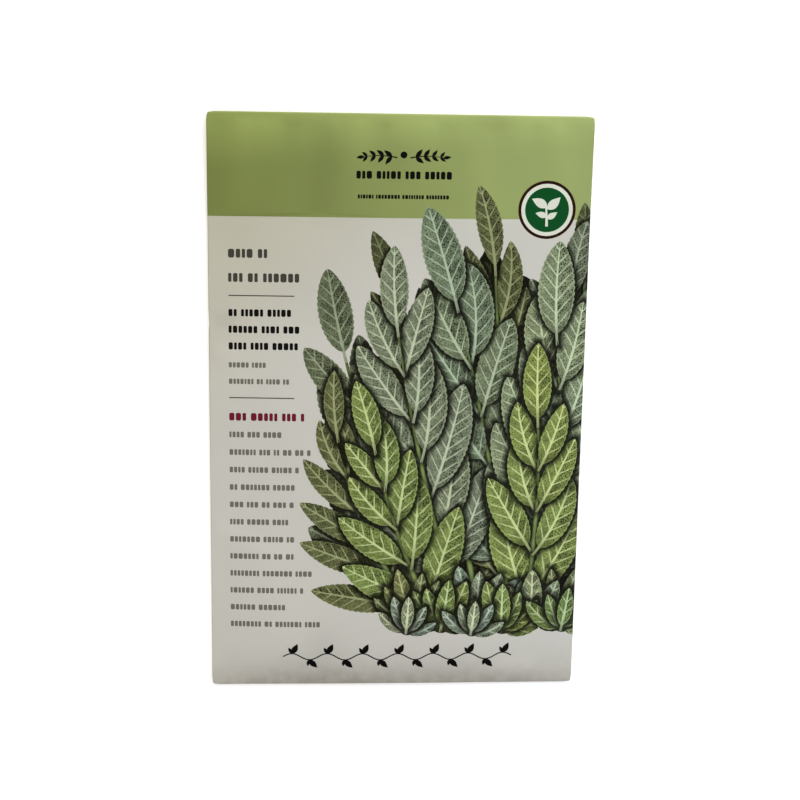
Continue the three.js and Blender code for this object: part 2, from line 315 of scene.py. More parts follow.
for (x, y), length, rows, taper in (
    ((0, -1), BOTTOM_FLAP, 5, FLAP_TAPER),
    ((0, 1), TOP_FLAP, 6, FLAP_TAPER),
    ((-1, 0), SIDE_FLAP, 5, FLAP_TAPER / 2),
    ((1, 0), 2 * SIDE_FOLD - SEAM_SETBACK, 38, 0),
):
    direction = Vector((x, y, 0))
    fold, half_width, arc = (SIDE_FOLD, END_FOLD, SIDE_ARC) if x else (END_FOLD, SIDE_FOLD, END_ARC)
    narrow = half_width - CORNER_RELIEF
    select_rim(blank, direction, fold)
    grow(direction, arc, fold_widths(half_width, arc))
    grow(direction, length, np.linspace(narrow, narrow - taper, rows + 1))
bpy.ops.object.mode_set(mode="OBJECT")
print("blank:", [round(v, 1) for v in blank.dimensions[:2]], "mm,", len(blank.data.polygons), "faces")

# %% [markdown]
# The back panel becomes an object of its own, cut off where the right fold ends, so that each
# piece gets its own share of detail. The two stay edge to edge.

# %% Cut off the back panel
for face in blank.data.polygons:
    face.select = face.center.x > SIDE_FOLD + SIDE_ARC
bpy.ops.object.mode_set(mode="EDIT")
bpy.ops.mesh.select_mode(type="FACE")
bpy.ops.mesh.separate(type="SELECTED")
bpy.ops.object.mode_set(mode="OBJECT")
front, back = bpy.context.selected_objects
if front.data.vertices[0].co.x > SIDE_FOLD:
    front, back = back, front
front.name, back.name = "envelope_front", "envelope_back"
print(front.name, len(front.data.polygons), "faces,", back.name, len(back.data.polygons), "faces")

# %% [markdown]
# ## Printing as geometry
#
# A print has edges far finer than a mesh's faces. Vertex colours would blur them and an image
# would need a file. Instead, every printed shape is laid on the flat sheet as an outline, later
# ones over earlier ones, and one triangulation cuts the sheet along all of them. Each triangle
# wears the ink of the topmost shape over it, so edges stay sharp at any distance.
#
# Leaves, stalks and scrolls are strips along an arc. The arc can say how far along and across
# the strip a point lies, and the inks draw veins from that.

# %% The middle line of a bent strip


class Arc:
    """A circular arc that starts at a base with a heading, and turns evenly along its length."""

    def __init__(self, base, heading, length, turn):
        self.base, self.heading, self.length = np.asarray(base, float), heading, length
        self.turn = turn if abs(turn) > MM else MM
        self.radius = length / self.turn
        self.centre = self.base + self.radius * np.array([-math.sin(heading), math.cos(heading)])

    def place(self, share, aside=0.0):
        """The point a share of the way along, moved aside to the left."""
        angle = self.heading + self.turn * np.asarray(share, float)
        reach = self.radius - aside
        return self.centre + np.stack([reach * np.sin(angle), -reach * np.cos(angle)], axis=-1)

    def find(self, points):
        """The share along and the distance aside of points."""
        side = math.copysign(1, self.radius)
        apart = points - self.centre
        aside = self.radius - side * np.hypot(apart[..., 0], apart[..., 1])
        angle = np.arctan2(side * apart[..., 0], -side * apart[..., 1]) - self.heading
        angle = (angle + math.pi) % (2 * math.pi) - math.pi
        return angle / self.turn, aside


print("a quarter turn ends at", Arc((0, 0), 0, 10, math.pi / 2).place(1).round(2))

# %% A canvas that keeps printed outlines
HALO, HALO_STEPS = 2.7, 14   # mm that a leaf's shadow reaches past its edge
CUT_CORNER = 0.22            # of a block's lesser side
BLOCK_WIDTHS = (0.36, 0.72)  # least and most width of a word's block, as a share of its height


def select_only(piece):
    bpy.ops.object.select_all(action="DESELECT")
    piece.select_set(True)
    bpy.context.view_layer.objects.active = piece


def corners_of(sheet):
    """The outline of a flat sheet: a copy is dissolved to one face, whose corners are read."""
    select_only(sheet)
    bpy.ops.object.duplicate()
    copy = bpy.context.object
    bpy.ops.object.mode_set(mode="EDIT")
    bpy.ops.mesh.select_all(action="SELECT")
    bpy.ops.mesh.dissolve_limited(angle_limit=0.001)
    bpy.ops.object.mode_set(mode="OBJECT")
    ring = [tuple(copy.data.vertices[i].co.xy) for i in copy.data.polygons[0].vertices]
    bpy.data.objects.remove(copy)
    return ring


class Canvas:
    """Printed shapes on a flat sheet, in paint order. The bare sheet is the first of them."""

    def __init__(self, sheet):
        self.sheet, self.points, self.faces, self.lines, self.shapes = sheet, [], [], [], []
        self.outline(corners_of(sheet), {"ink": "paper"})
        start = len(self.points)
        places = [corner.co for corner in sheet.data.vertices]
        self.points.extend(place.to_2d().to_tuple() for place in places)
        self.grid = range(start, len(self.points))
        self.grounds = {0}
        for edge in sheet.data.edges:
            one, other = edge.vertices
            if self.in_fold(places[one]) and self.in_fold(places[other]):
                self.lines.append((start + one, start + other))

    @staticmethod
    def in_fold(place):
        past_side, past_end = abs(place.x) - SIDE_FOLD, abs(place.y) - END_FOLD
        return -MM < past_side < SIDE_ARC + MM or -MM < past_end < END_ARC + MM

    def outline(self, points, shape):
        """Lays down one outline, its corners in anticlockwise order."""
        ring = np.asarray(points, float)
        ahead = np.roll(ring, -1, axis=0)
        area = (ring[:, 0] * ahead[:, 1] - ahead[:, 0] * ring[:, 1]).sum()
        start = len(self.points)
        self.points.extend(map(tuple, ring if area > 0 else ring[::-1]))
        self.faces.append(list(range(start, start + len(ring))))
        self.shapes.append(shape)

    def plain(self, points, ink):
        self.outline(points, {"ink": ink})

    def panel(self, left, bottom, right, top, ink):
        self.plain([(left, bottom), (right, bottom), (right, top), (left, top)], ink)

    def disc(self, x, y, radius, ink, sides):
        turns = np.linspace(0, 2 * math.pi, sides, endpoint=False)
        self.plain([(x + radius * math.cos(a), y + radius * math.sin(a)) for a in turns], ink)

    def block(self, x, y, length, height, ink):
        """A block with cut corners, from x to the right."""
        cut = CUT_CORNER * min(length, height)
        across, up = length / 2, height / 2
        middle = x + across
        corners = [(across, up - cut), (across - cut, up), (cut - across, up), (-across, up - cut)]
        corners += [(-a, -b) for a, b in corners]
        self.plain([(middle + a, y + b) for a, b in corners], ink)

    def words(self, x, y, length, height, ink, draw):
        """A line of text as a layout artist sketches it: a run of small blocks for each word."""
        end = x + length
        left_in_word = draw.randint(2, 8)
        while x < end:
            width = draw.uniform(*BLOCK_WIDTHS) * height
            self.block(x, y, width, height, ink)
            left_in_word -= 1
            x += width + height * (0.17 if left_in_word else 0.6)
            left_in_word = left_in_word or draw.randint(2, 8)

    def strip(self, arc, half_width, ink, steps=12, edge=None, **more):
        """A strip bent along an arc. half_width and edge are functions of the share along it."""
        share = np.linspace(0, 1, steps + 1)
        width = half_width(share) * (edge(share) if edge else 1)
        middle, left, right = (arc.place(share, side * width) for side in (0, 1, -1))
        shape = {"ink": ink, "arc": arc, "half_width": half_width, **more}
        self.outline(np.concatenate([middle[::4], left[::-1]]), shape)
        self.outline(np.concatenate([right, middle[::-4]]), shape)

    def halo(self, arc, half_width):
        """The outline of the shadow round a strip. It prints nothing by itself."""
        share = np.linspace(0, 1, HALO_STEPS + 1)
        width = half_width(share) + HALO
        ends = [arc.place(-HALO / arc.length), arc.place(1 + HALO / arc.length)]
        sides = [arc.place(share, -width), ends[1:], arc.place(share[::-1], width[::-1]), ends[:1]]
        self.outline(np.concatenate(sides), {"ink": None, "arc": arc, "half_width": half_width})


front_sheet, back_sheet = Canvas(front), Canvas(back)
print("front sheet:", len(front_sheet.points), "points,", len(front_sheet.faces[0]), "corners")

# %% [markdown]
# ## Leaves and sprigs
#
# The front carries a stand of leafy sprigs. A leaf is a strip with an oval width and a finely
# scalloped edge. A sprig is a slender stalk with its leaves in pairs, smaller towards its tip.
# Back sprigs are laid down first and darker, so the stand has depth before any light falls on it.

# %% Leaf kinds and sprigs
LEAF_KINDS = {  # ink, width for its length, fullness towards base and tip, scallops per mm
    "broad": ("leaf_grey_green", 0.35, 0.60, 0.70, 0.66),
    "long": ("leaf_olive", 0.27, 0.75, 0.80, 0.70),
    "pale": ("leaf_blue_green", 0.31, 0.66, 0.72, 0.66),
    "young": ("leaf_bright", 0.33, 0.60, 0.75, 0.66),
    "deep": ("leaf_deep", 0.40, 0.60, 0.80, 0.30),
}
LEAFSTALK = 0.12             # share of a leaf's length that is its stalk
STALK_HALF_WIDTH, TIP_HALF_WIDTH = 0.32, 0.02
SCALLOP_STEPS, SCALLOP_DEPTH = 3, 0.07
TIP_LEAF = 0.97              # share of a sprig's stalk where its last leaf starts


def leaf(canvas, kind, base, heading, length, turn, shade_number, depth):
    """One leaf, with its shadow under it."""
    ink, ratio, low, high, scallops = LEAF_KINDS[kind]
    peak = (low / (low + high)) ** low * (high / (low + high)) ** high
    count = max(8, round(length * scallops))

    def half_width(share):
        blade = np.clip((share - LEAFSTALK) / (1 - LEAFSTALK), 1e-6, 1)
        oval = blade**low * (1 - blade) ** high / peak
        least = np.where(share < 0.5, STALK_HALF_WIDTH, TIP_HALF_WIDTH)
        return np.maximum(length * ratio / 2 * oval, least)

    def scalloped(share):
        return 1 + SCALLOP_DEPTH * (np.abs(np.sin(math.pi * count * share)) - 0.5)

    arc, tone = Arc(base, heading, length, turn), (shade_number, depth)
    canvas.halo(arc, half_width)
    canvas.strip(arc, half_width, ink, count * SCALLOP_STEPS, scalloped, tone=tone)


def sprig(canvas, draw, kind, root, heading, length, turn, pairs, sizes, spread, depth, bare):
    """A stalk with pairs of leaves, from its bare foot up to its tip."""
    heading, turn = math.radians(heading), math.radians(turn)
    sprig_tone = draw.random()
    stalk = Arc(root, heading, length, turn)
    canvas.strip(stalk, lambda s: 0.85 - 0.5 * s, "stalk", 24, tone=(sprig_tone, depth))
    for k in range(pairs):
        share = bare + (TIP_LEAF - bare) * k / pairs
        size = sizes[0] + (sizes[1] - sizes[0]) * k / (pairs - 1)
        for side in draw.sample((1, -1), 2):
            opening = spread * (1 - 0.45 * k / pairs) * draw.uniform(0.85, 1.15)
            foot = stalk.place(share + draw.uniform(-0.012, 0.012))
            leaf_heading = heading + turn * share + side * opening
            leaf(canvas, kind, foot, leaf_heading, size * draw.uniform(0.9, 1.1),
                 -side * draw.uniform(-0.1, 0.55), 0.7 * sprig_tone + 0.3 * draw.random(), depth)
    leaf(canvas, kind, stalk.place(TIP_LEAF), heading + turn, sizes[1] * 1.1, draw.uniform(-0.3, 0.3),
         sprig_tone, depth)


print("leaf kinds:", ", ".join(LEAF_KINDS))

# %% The stand of sprigs
FOOT_LINE = -58.5            # height at which the stalks start
UNDERGROWTH = 72             # dark leaves that fill the gaps
SPRIGS = (  # kind, foot x, heading, length, turn, pairs, leaf lengths, spread, depth, bare foot
    ("long", 22, 97, 89, 14, 6, (34, 20), 0.68, 0.90, 0.12),
    ("long", 37, 78, 93, 12, 6, (34, 20), 0.68, 0.90, 0.12),
    ("broad", 13, 116, 78, -12, 5, (36, 22), 0.66, 0.75, 0.16),
    ("pale", 43, 93, 88, -6, 6, (34, 20), 0.66, 0.65, 0.14),
    ("long", 28, 91, 96, 3, 6, (36, 21), 0.62, 0.60, 0.14),
    ("long", 9, 129, 58, -28, 5, (28, 17), 0.70, 0.50, 0.14),
    ("broad", 31, 97, 88, 8, 5, (39, 25), 0.62, 0.40, 0.18),
    ("pale", 18, 107, 82, -8, 6, (35, 21), 0.62, 0.30, 0.18),
    ("broad", 40, 84, 78, 12, 5, (37, 24), 0.62, 0.20, 0.18),
    ("young", 12, 118, 52, -16, 4, (26, 18), 0.64, 0.12, 0.16),
    ("young", 33, 80, 56, 14, 4, (28, 20), 0.64, 0.05, 0.16),
)
ROSETTES = (  # kind, foot x, foot y above the line, leaf length, leaves
    ("pale", 21, 2.5, 15, 7), ("long", 43, 2.5, 14, 6), ("long", 5, 1.5, 15, 7),
    ("broad", 36, 0.5, 15, 7), ("young", 28, -1.0, 14, 7), ("young", 12, -0.5, 14, 7),
    ("pale", 3, -1.0, 10, 5), ("young", 44, -1.0, 12, 5), ("pale", 20, -1.5, 10, 5),
)


def undergrowth(canvas, draw):
    """Dark leaves behind everything, in rows from the top down, so no gap shows bare paper."""
    for k in range(UNDERGROWTH):
        share = k / UNDERGROWTH
        reach = 10 + 10 * math.sin(math.pi * share)
        place = (24 + draw.uniform(-1, 1) * reach, 22 - 77 * share)
        heading = math.pi / 2 - (place[0] - 22) * 0.02 + draw.uniform(-0.5, 0.5)
        leaf(canvas, "deep", place, heading, draw.uniform(15, 21), draw.uniform(-0.4, 0.4),
             draw.random(), draw.uniform(0.4, 0.9))


def rosette(canvas, draw, kind, foot, length, leaves):
    """Leaves that fan out from one foot, the flat outer ones first and the upright ones last."""
    for k in range(leaves):
        side = 1 if k % 2 else -1
        lean = side * 1.45 * (1 - k / (leaves - 0.6)) + draw.uniform(-0.1, 0.1)
        leaf(canvas, kind, foot, math.pi / 2 + lean, length * draw.uniform(0.85, 1.1), -0.4 * lean,
             draw.random(), 0.45 * (1 - k / leaves))


def stand_of_sprigs(canvas, draw):
    undergrowth(canvas, draw)
    for kind, foot, *rest in SPRIGS:
        sprig(canvas, draw, kind, (foot, FOOT_LINE), *rest)
    for kind, foot, up, *rest in ROSETTES:
        rosette(canvas, draw, kind, (foot, FOOT_LINE + up), *rest)


BAND_EDGE = 48.7             # height of the green band's lower edge
FAR = 2 * PACKET_WIDTH       # past the end of any sheet


def green_band(canvas):
    canvas.grounds.add(len(canvas.shapes))
    canvas.panel(-FAR, BAND_EDGE, 2 * FAR, FAR, "band_green")


green_band(front_sheet)
stand_of_sprigs(front_sheet, random.Random(11))
print("front sheet:", len(front_sheet.shapes), "shapes,", len(front_sheet.points), "points")

# %% [markdown]
# ## Title, column and badge
#
# Only the plain layout is kept from such packets: a green band across the top, a narrow column
# on the left and foliage on the right. Rows of small blocks stand where lettering would be, a
# small spray with two more in the title's place, a plain badge with a sprout at the end of the
# band, and a running vine along the bottom.

# %% Ornaments and rows of blocks
COLUMN_LEFT = -42.5
BODY_TOP, BODY_PITCH = -6.3, 4.59
BODY_LENGTHS = (12.4, 20.4, 17.2, 15.8, 16.4, 15.0, 17.2, 16.4, 20.6, 18.6, 14.8, 22.6)
COLUMN_LINES = (  # height of the blocks, ink, then the level and length of each line
    (2.2, "ink_grey", (39.6, 10.4), (33.6, 17.0)),
    (1.8, "ink_dark", (24.8, 15.4), (20.6, 17.8), (16.4, 17.2)),
    (1.35, "ink_pale", (11.6, 8.8), (7.4, 15.6)),
    (2.0, "ink_maroon", (-1.7, 18.9)),
    (1.5, "ink_pale", *((BODY_TOP - BODY_PITCH * k, length) for k, length in enumerate(BODY_LENGTHS))),
)
RULE_LEVELS, RULE_LENGTH, RULE_WIDTH = (29.1, 3.2), 16.4, 0.28
BADGE_PLACE, BADGE_RADIUS = (36.4, 51.1), 7.2
TITLE_PLACE = (0.6, 64.5)
TITLE_LINES = ((-11.0, 59.2, 22.8, 1.9), (-10.6, 53.9, 22.0, 1.0))    # left, level, length, height
VINE_ENDS, VINE_LEVEL, VINE_STEPS, VINE_WAVES = (-29, 31), -65.8, 90, 6.5
VINE_HEIGHT, VINE_HALF_WIDTH = 0.9, 0.17


def small_leaf(canvas, base, heading, length, ink, ratio=0.42):
    """A plain pointed leaf, for ornaments."""
    wide = length * ratio / 2
    arc = Arc(base, heading, length, 0.25)
    canvas.strip(arc, lambda s: wide * np.sin(math.pi * s**0.8) + 0.01, ink)


def title(canvas, ink, draw):
    """A symmetrical spray with two lines of blocks under it."""
    x, y = TITLE_PLACE
    for side in (1, -1):
        heading = math.pi / 2 - side * math.pi / 2
        spray = Arc((x + side * 1.6, y - 1.1), heading + side * 0.22, 8.4, -side * 0.42)
        canvas.strip(spray, lambda s: 0.17 - 0.1 * s, ink)
        for k in range(4):
            for turn in (0.75, -0.75):
                small_leaf(canvas, spray.place(0.16 + 0.24 * k), heading + turn, 2.5 - 0.25 * k, ink)
        small_leaf(canvas, spray.place(TIP_LEAF), heading, 2.0, ink)
    canvas.disc(x, y - 0.4, 0.85, ink, 24)
    for line in TITLE_LINES:
        canvas.words(*line, ink, draw)


def text_column(canvas, draw):
    for height, ink, *lines in COLUMN_LINES:
        for y, length in lines:
            canvas.words(COLUMN_LEFT, y, length, height, ink, draw)
    for y in RULE_LEVELS:
        canvas.block(COLUMN_LEFT, y, RULE_LENGTH, RULE_WIDTH, "ink_grey")


def running_vine(canvas, ink):
    """A traditional running vine: one wavy stalk with two leaves in each bend."""
    left, run = VINE_ENDS[0], VINE_ENDS[1] - VINE_ENDS[0]
    share = np.linspace(0, 1, VINE_STEPS)
    phase = 2 * math.pi * VINE_WAVES * share
    stalk = np.stack([left + run * share, VINE_LEVEL + VINE_HEIGHT * np.sin(phase)], axis=1)
    slope = VINE_HEIGHT * np.cos(phase) * 2 * math.pi * VINE_WAVES / run
    aside = np.stack([-slope, np.ones_like(slope)], axis=1)
    aside = aside * VINE_HALF_WIDTH / np.hypot(1, slope)[:, None]
    canvas.plain(np.concatenate([stalk + aside, (stalk - aside)[::-1]]), ink)
    bends = int(VINE_WAVES * 2)
    for k in range(bends):
        up = 1 if k % 2 == 0 else -1
        place = (left + run * (k + 0.5) / bends, VINE_LEVEL + up * VINE_HEIGHT)
        small_leaf(canvas, place, up * 0.95, 3.1, ink, 0.5)
        small_leaf(canvas, place, up * 1.95, 1.9, ink, 0.5)


def badge(canvas):
    """A plain round badge: a brown ring, a cream one and a cream sprout on a green face."""
    x, y = BADGE_PLACE
    for inset, ink in ((0, "badge_brown"), (0.75, "badge_face"), (1.7, "badge_green")):
        canvas.disc(x, y, BADGE_RADIUS - inset, ink, 96)
    canvas.strip(Arc((x, y - 4.1), math.pi / 2, 5.0, 0.12), lambda s: 0.34 - 0.12 * s, "badge_face")
    for side in (1, -1):
        for up, opening, length in ((0.4, 0.95, 4.4), (-1.9, 1.15, 3.0)):
            foot, heading = (x, y + up - 0.2 * side), math.pi / 2 - side * opening
            small_leaf(canvas, foot, heading, length, "badge_face", 0.5)


title(front_sheet, "ink_dark", random.Random(3))
badge(front_sheet)
text_column(front_sheet, random.Random(7))
running_vine(front_sheet, "ink_dark")
print("front sheet:", len(front_sheet.shapes), "shapes,", len(front_sheet.points), "points")

# %% [markdown]
# The back is not in the photograph, so it is kept quiet: the same green band with a heading,
# rows for growing notes and a framed table, all clear of the end flaps glued over the back.

# %% The print of the back
BACK_START = SIDE_FOLD + SIDE_ARC
BACK_LEFT, BACK_RIGHT = BACK_START + 7, BACK_START + 2 * SIDE_FOLD - 9
BACK_WIDE = BACK_RIGHT - BACK_LEFT
NOTE_PITCH, NOTE_HEIGHT = 4.2, 1.35
TABLE_TOP, TABLE_BOTTOM, TABLE_ROWS, TABLE_COLUMNS, TABLE_RULE = -34.0, -57.0, 4, 3, 0.3


def back_print(canvas, draw):
    def note(x, y, wide, least, most):
        canvas.words(x, y, wide * draw.uniform(least, most), NOTE_HEIGHT, "ink_pale", draw)

    green_band(canvas)
    canvas.words(BACK_LEFT, 52.6, BACK_WIDE * 0.55, 2.2, "ink_dark", draw)
    for k in range(8):
        note(BACK_LEFT, 41 - NOTE_PITCH * k, BACK_WIDE, 0.9, 1)
    canvas.words(BACK_LEFT, 3.5, BACK_WIDE * 0.3, 1.8, "ink_maroon", draw)
    for column in (0, 1):
        for k in range(7):
            note(BACK_LEFT + column * BACK_WIDE * 0.53, -2 - NOTE_PITCH * k, BACK_WIDE, 0.4, 0.46)
    canvas.panel(BACK_LEFT, TABLE_BOTTOM, BACK_RIGHT, TABLE_TOP, "band_green")
    wide, high = BACK_WIDE / TABLE_COLUMNS, (TABLE_TOP - TABLE_BOTTOM) / TABLE_ROWS
    for row in range(TABLE_ROWS):
        for column in range(TABLE_COLUMNS):
            x, y, thin = BACK_LEFT + wide * column, TABLE_BOTTOM + high * row, TABLE_RULE
            canvas.panel(x + thin, y + thin, x + wide - thin, y + high - thin, "paper")
            note(x + 2, y + high / 2, wide, 0.4, 0.75)


back_print(back_sheet, random.Random(5))
print("back sheet:", len(back_sheet.shapes), "shapes,", len(back_sheet.points), "points")

# %% [markdown]
# ## Inks and paper
#
# Every ink lies on the same coated paper, so they share one node group: faint clouding, fine
# fibres, grime with painted shade towards the bottom fold, painted shade in the dents and painted
# light on their ridges, and wear where the folds have rubbed the print away. It reads the place
# on the flat sheet, in millimetres, so its pattern runs on round every fold.

# %% Helpers for colours and nodes
BUMP_DEPTH = 0.05 * MM


def colour(red, green, blue):
    """A screen colour as the light that Blender mixes."""
    shares = [value / 255 for value in (red, green, blue)]
    return (*(s / 12.92 if s < 0.04 else ((s + 0.055) / 1.055) ** 2.4 for s in shares), 1)


def feed(made, inputs):
    """Sets a node's inputs. Each is a number, a colour or another node's signal."""
    for name, value in inputs.items():
        if isinstance(value, Signal):
            made.id_data.links.new(value.socket, made.inputs[name])
        else:
            made.inputs[name].default_value = value


def node(tree, kind, inputs=None, **settings):
    made = tree.nodes.new(kind)
    for name, value in settings.items():
        setattr(made, name, value)
    feed(made, inputs or {})
    return made


class Signal:
    """What comes out of a node. Each step of arithmetic with it adds a Math node."""

    def __init__(self, socket):
        self.socket, self.tree = socket, socket.id_data

    def step(self, operation, other=0.0, clamp=False):
        inputs = {0: self, 1: other}
        made = node(self.tree, "ShaderNodeMath", inputs, operation=operation, use_clamp=clamp)
        return Signal(made.outputs[0])

    __add__, __sub__ = partialmethod(step, "ADD"), partialmethod(step, "SUBTRACT")
    __mul__, __truediv__ = partialmethod(step, "MULTIPLY"), partialmethod(step, "DIVIDE")
    __abs__ = partialmethod(step, "ABSOLUTE")

    def ramp(self, start, end, low=0.0, high=1.0):
        """Goes softly from low to high while the signal goes from start to end."""
        inputs = {"Value": self, "From Min": start, "From Max": end, "To Min": low, "To Max": high}
        made = node(self.tree, "ShaderNodeMapRange", inputs, interpolation_type="SMOOTHSTEP")
        return Signal(made.outputs[0])

    def parts(self):
        """The three numbers of a vector."""
        made = node(self.tree, "ShaderNodeSeparateXYZ", {0: self})
        return [Signal(part) for part in made.outputs]

    def noise(self, scale, detail):
        """Noise over the places that the signal gives."""
        inputs = {"Vector": self, "Scale": scale, "Detail": detail}
        return Signal(node(self.tree, "ShaderNodeTexNoise", inputs).outputs[0])

    def as_grey(self):
        made = node(self.tree, "ShaderNodeCombineColor", {k: self for k in range(3)})
        return Signal(made.outputs[0])

    def as_bumps(self, strength):
        """The directions of a surface that has the signal as its height."""
        inputs = {"Height": self, "Strength": strength, "Distance": BUMP_DEPTH}
        return Signal(node(self.tree, "ShaderNodeBump", inputs).outputs[0])


def mix(share, first, second, blend="MIX"):
    """Mixes two colours. One of the three values at least is a signal."""
    tree = next(value.tree for value in (share, first, second) if isinstance(value, Signal))
    inputs = {0: share, 6: first, 7: second}
    made = node(tree, "ShaderNodeMix", inputs, data_type="RGBA", blend_type=blend)
    return Signal(made.outputs[2])


def read(tree, name, output="Fac"):
    """What is stored on the mesh under a name."""
    return Signal(node(tree, "ShaderNodeAttribute", attribute_name=name).outputs[output])


def new_group(name, inputs, outputs):
    """An empty node group with named sockets. A colour has four numbers as its default."""
    tree = bpy.data.node_groups.new(name, "ShaderNodeTree")
    for direction, sockets in (("INPUT", inputs), ("OUTPUT", outputs)):
        for socket_name, default in sockets.items():
            kind = "NodeSocketColor" if isinstance(default, tuple) else "NodeSocketFloat"
            socket = tree.interface.new_socket(socket_name, in_out=direction, socket_type=kind)
            socket.default_value = default
    given = tree.nodes.new("NodeGroupInput").outputs
    return tree, {socket.name: Signal(socket) for socket in given}


def finish_group(tree, results):
    node(tree, "NodeGroupOutput", results)
    print("group", tree.name, "with", len(tree.nodes), "nodes")
    return tree


def new_material(name, build):
    """A material. build is a function that adds nodes and gives the shader's inputs."""
    material = bpy.data.materials.new(name)
    material.use_nodes = True
    feed(material.node_tree.nodes["Principled BSDF"], build(material.node_tree))
    return material


print("Signal, mix, read and the makers of groups and materials are ready")

# %% The coated sheet, shared by all inks
WHITE = (1.0, 1.0, 1.0, 1.0)
# the bare paper, and a darker, warmer one for the painted shade at the top left
FRESH_PAPER, SHADED_WARM_PAPER = colour(180, 178, 172), colour(173, 170, 156)
DENT_PAINTED_SHADE = 0.35                 # painted light on a ridge and painted shade in a hollow, for each mm of height
DIRT_SHADE_TINT = (0.63, 0.60, 0.56, 1.0)       # what grime and painted shade leave of each colour
PAPER_BUMP = 0.06
SHEEN_LEVEL = 0.04                   # the print has a soft, low sheen: its blacks stay black


def coated_sheet_group():
    """Takes an ink's colour and gloss, and lays them on coated paper, with painted shade in hollows
    and towards the bottom fold.
    """
    tree, given = new_group(
        "coated sheet",
        {"Ink": WHITE, "Bare Paper": WHITE, "Roughness": 0.4, "Wear": 1.0},
        {"Color": WHITE, "Roughness": 0.4, "Height": 0.0},
    )
    flat = read(tree, "flat", "Vector")
    clouds = flat.noise(0.045, 3).ramp(0.3, 0.7, -0.022, 0.022)
    fibres, fine = flat.noise(2.2, 4), flat.noise(7.0, 3)
    grain = (fibres - 0.5) * 0.07 + (fine - 0.5) * 0.04
    # grain and clouds mottle the paper; the dents add painted shade in hollows and painted light on
    # ridges
    light = grain + clouds + (read(tree, "dented") * DENT_PAINTED_SHADE + 1)
    worn = (read(tree, "rubbed") * given["Wear"] + fibres * 0.5).ramp(0.78, 1.15)
    lit = mix(1.0, mix(worn, given["Ink"], given["Bare Paper"]), light.as_grey(), "MULTIPLY")
    # darker towards the bottom fold, partly grime and partly painted shade where the paper turns away
    # from the light, and in two patches
    patchy = flat.noise(0.35, 4).ramp(0.3, 0.7, 0.75, 1.1)
    dirt_and_shade = read(tree, "dirt_and_shade").step("MULTIPLY", patchy, clamp=True)
    roughness = given["Roughness"] + worn * 0.25 + (fibres - 0.5) * 0.12
    paper = mix(dirt_and_shade, lit, DIRT_SHADE_TINT, "MULTIPLY")
    return finish_group(tree, {"Color": paper, "Roughness": roughness, "Height": fibres + fine * 0.4})


coated_sheet = coated_sheet_group()


def printed_material(name, ink, roughness=0.42, wear=1.0):
    """A material whose ink is a screen colour, or a function that builds nodes for it."""
    def build(tree):
        inputs = {"Ink": ink(tree) if callable(ink) else colour(*ink), "Bare Paper": FRESH_PAPER}
        inputs.update({"Roughness": roughness, "Wear": wear})
        sheet = node(tree, "ShaderNodeGroup", inputs, node_tree=coated_sheet)
        base, gloss, height = (Signal(output) for output in sheet.outputs)
        return {"Base Color": base, "Roughness": gloss, "Normal": height.as_bumps(PAPER_BUMP),
                "Specular IOR Level": SHEEN_LEVEL}

    return new_material(name, build)


# %% [markdown]
# ## Painted leaves
#
# A painted leaf has a dark ground, a net of pale flecks, a light midrib with side veins, one
# half lighter than the other, and a fine pale rim. All of that is drawn from the leaf's own
# coordinates: the share along it, and how far across from rib to edge. The shadow of the leaf
# above darkens it last.

# %% The painted leaf, shared by all leaf inks
DEEP_SHADE = colour(10, 8, 3)
COOL, WARM = (0.90, 0.98, 1.06, 1), (1.10, 1.03, 0.86, 1)      # the casts that leaves vary between
# the band's green is painted darker on the left and lighter on the right: painted light
BAND_SHADED_LEFT, BAND_LIT_RIGHT = colour(112, 122, 66), colour(144, 156, 99)
STALK_MIDDLE, STALK_EDGE = colour(150, 172, 104), colour(74, 92, 44)


def painted_leaf_group():
    """Takes four paints, from the dark ground to the veins, and paints a leaf with them."""
    tree, given = new_group(
        "painted leaf",
        {"Dark": WHITE, "Mid": WHITE, "Light": WHITE, "Vein": WHITE, "Vein Pitch": 3.2, "Net": 0.7},
        {"Color": WHITE},
    )
    flat = read(tree, "flat", "Vector")
    share, across, half = read(tree, "leaf", "Vector").parts()
    number, depth, length = read(tree, "tone", "Vector").parts()
    aside = abs(across)
    away = aside * half

    patches, specks = flat.noise(0.32, 3), flat.noise(1.9, 2)
    cells = node(tree, "ShaderNodeTexVoronoi", {"Vector": flat, "Scale": 2.0, "Randomness": 0.9},
                 feature="DISTANCE_TO_EDGE")
    net = Signal(cells.outputs["Distance"]).ramp(0.03, 0.22, 1, 0) * patches.ramp(0.3, 0.6, 0.5, 1)
    slant = share * length - away * 1.15 + (specks - 0.5) * 0.8
    from_vein = abs((slant / given["Vein Pitch"]).step("FRACT") - 0.5)
    veins = from_vein.ramp(0.03, 0.11, 1, 0) * aside.ramp(0.5, 1.0, 1, 0.3)
    rib = (away - (share * -0.3 + 0.42)).ramp(-0.1, 0.1, 1, 0)

    painted = mix((patches + from_vein * 0.35).ramp(0.45, 0.95), given["Dark"], given["Mid"])
    for amount, paint in (
        (net * given["Net"], "Light"),
        (specks.ramp(0.6, 0.68, 0, 0.4), "Light"),
        (across.ramp(-0.15, 0.15, 0.0, 0.2), "Light"),
        (veins * 0.75, "Vein"),
        (aside.ramp(0.88, 0.97, 0, 0.55), "Light"),
        (rib * 0.85, "Vein"),
    ):
        painted = mix(amount, painted, given[paint])
    painted = mix(1.0, painted, mix(number, COOL, WARM), "MULTIPLY")

    foot = share.ramp(0.0, 0.4, 0.6, 0)
    shadow = read(tree, "shade").ramp(0.0, 0.88, 0, 0.97)
    dark = foot.step("MAXIMUM", depth * 0.7).step("MAXIMUM", shadow)
    return finish_group(tree, {"Color": mix(dark, painted, DEEP_SHADE)})


